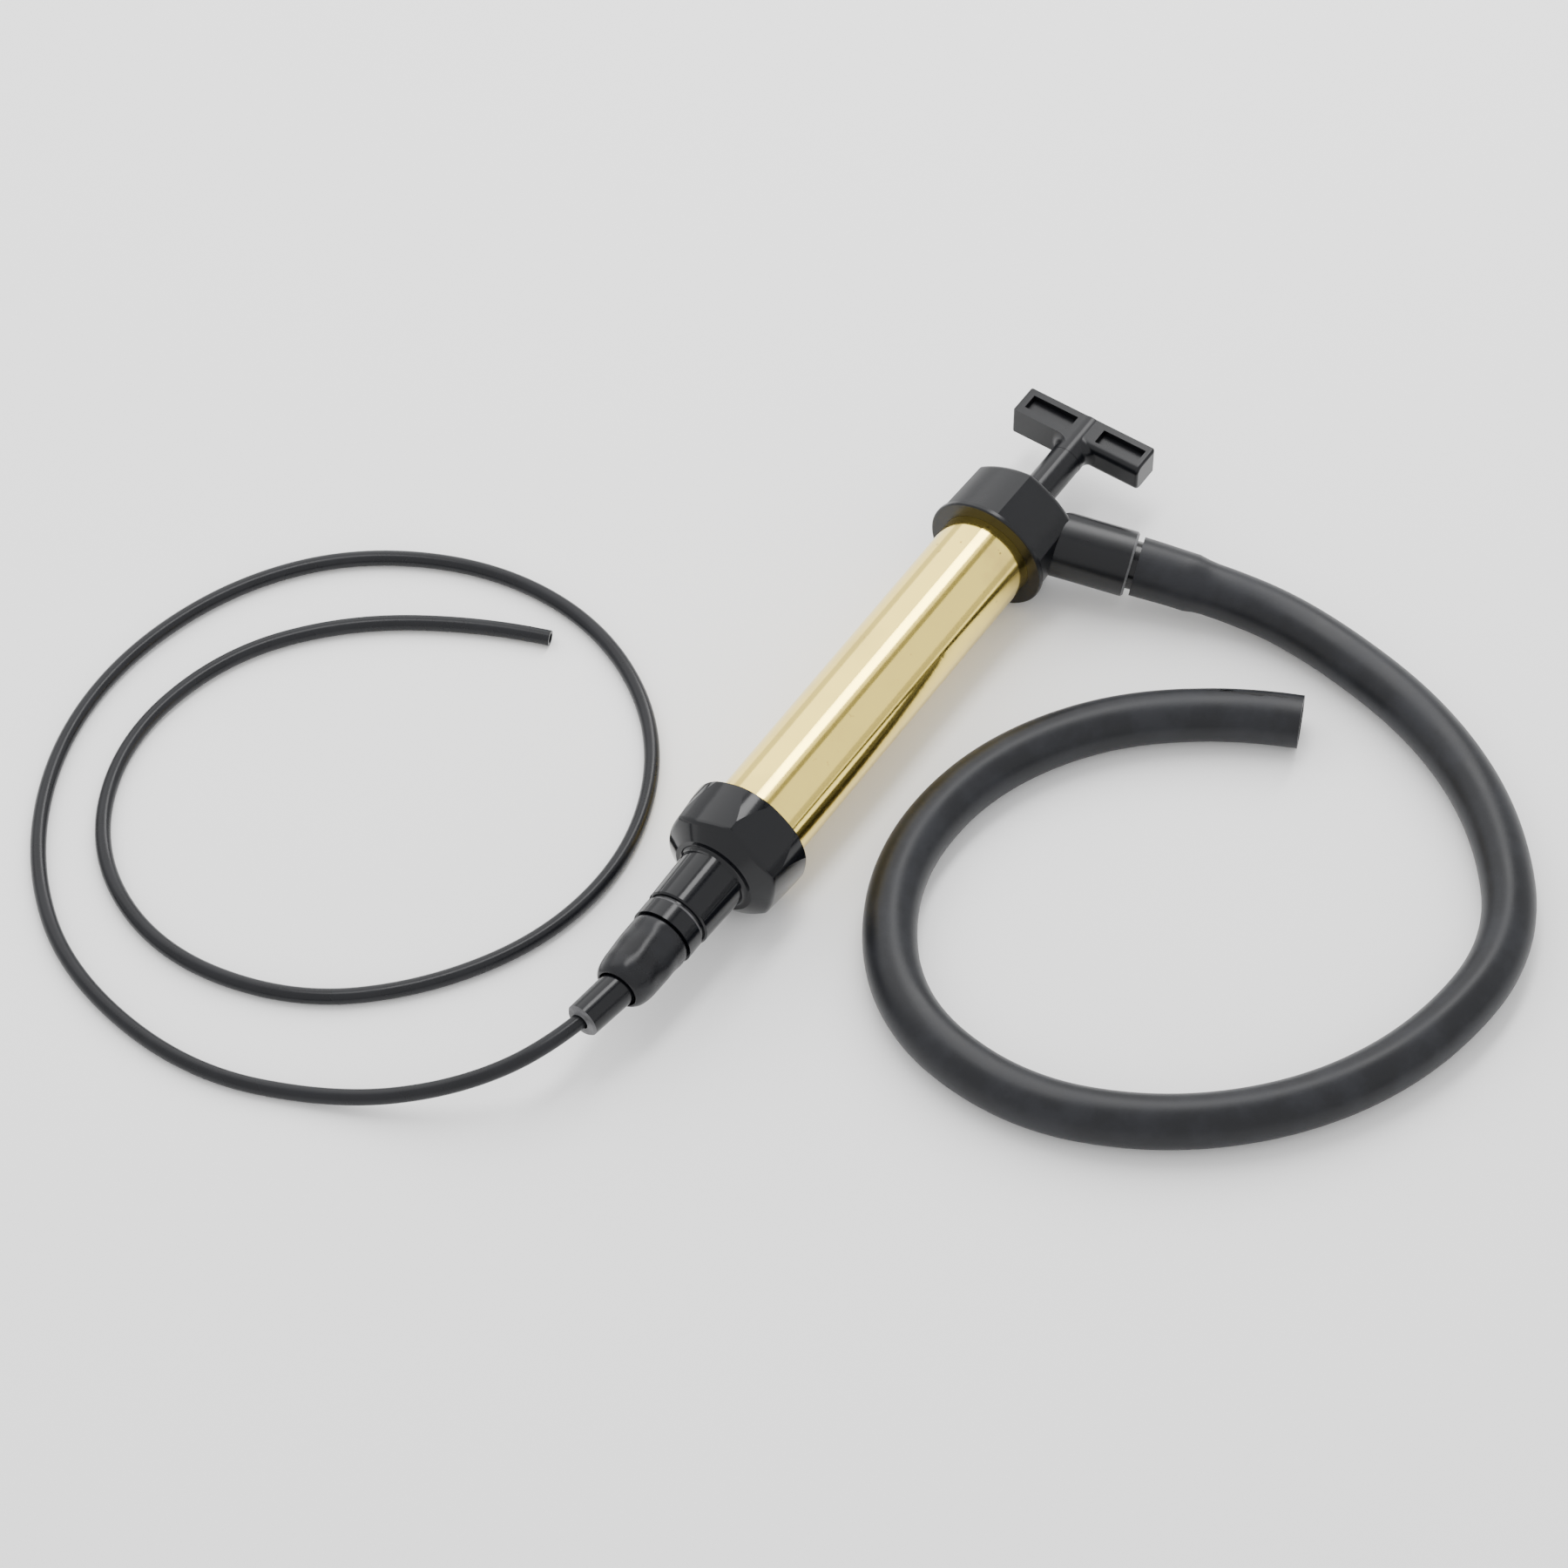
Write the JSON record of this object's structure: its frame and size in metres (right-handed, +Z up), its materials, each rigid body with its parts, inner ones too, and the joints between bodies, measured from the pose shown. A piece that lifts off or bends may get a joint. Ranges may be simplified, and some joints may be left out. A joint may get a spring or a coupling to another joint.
{
  "type": "bilge pump",
  "caption": "Hand bilge pump with a brass barrel, black end caps, a T-handle plunger, a thin suction tube and a thick discharge hose.",
  "frame": {"origin": "on the floor, under the middle of the rigid pump's bounding box", "axes": "+X along the barrel towards the T-handle, +Y to the side of the thin suction tube, +Z up"},
  "size_m": [0.451, 0.5495, 0.0524],
  "materials": {
    "brass": "polished, slightly tarnished",
    "black_plastic": "moulded gloss",
    "grey_plastic": "moulded satin",
    "black_rubber": "matte",
    "soft_rubber": "matte, softly wavy",
    "hose_rubber": "matte",
    "tube_rubber": "smooth satin",
    "spring_steel": "plain"
  },
  "bodies": {
    "pump": {"barrel": "brass", "foot_cap": "black_plastic", "head_cap": "black_plastic", "foot_gasket": "black_rubber", "head_gasket": "black_rubber", "foot_valve_plate": "black_plastic", "rod_bush": "black_plastic", "rod_seal": "black_rubber", "seal_retainer": "spring_steel", "inlet_adapter": "grey_plastic", "inlet_oring": "black_rubber", "coupling_sleeve": "soft_rubber", "reducer_nozzle": "grey_plastic", "tube_grip": "black_rubber", "suction_tube": "tube_rubber", "outlet_adapter": "grey_plastic", "outlet_oring": "black_rubber", "discharge_hose": "hose_rubber"},
    "piston": {"piston_body": "black_plastic", "piston_ring": "black_rubber", "cup_seal": "black_rubber", "cup_follower": "brass"},
    "plunger": {"plunger_rod": "black_plastic", "nut_washer": "spring_steel", "rod_nut": "brass", "t_handle": "black_plastic", "handle_screw": "spring_steel"},
    "foot_valve": {"foot_valve_disc": "black_rubber", "foot_valve_clip": "spring_steel"},
    "piston_valve": {"piston_valve": "black_rubber"}
  },
  "joints": [
    {"name": "plunger_slide", "type": "slide", "parent": "pump", "child": "piston", "axis": [1, 0, 0], "range_m": [0, 0.15]},
    {"name": "handle_spin", "type": "hinge", "parent": "piston", "child": "plunger", "pos_m": [0.1, 0.0232, 0.0262], "axis": [1, 0, 0], "continuous": true},
    {"name": "foot_valve_lift", "type": "slide", "parent": "pump", "child": "foot_valve", "axis": [1, 0, 0], "range_m": [0, 0.0024]},
    {"name": "piston_valve_lift", "type": "slide", "parent": "piston", "child": "piston_valve", "axis": [1, 0, 0], "range_m": [0, 0.0028]}
  ]
}
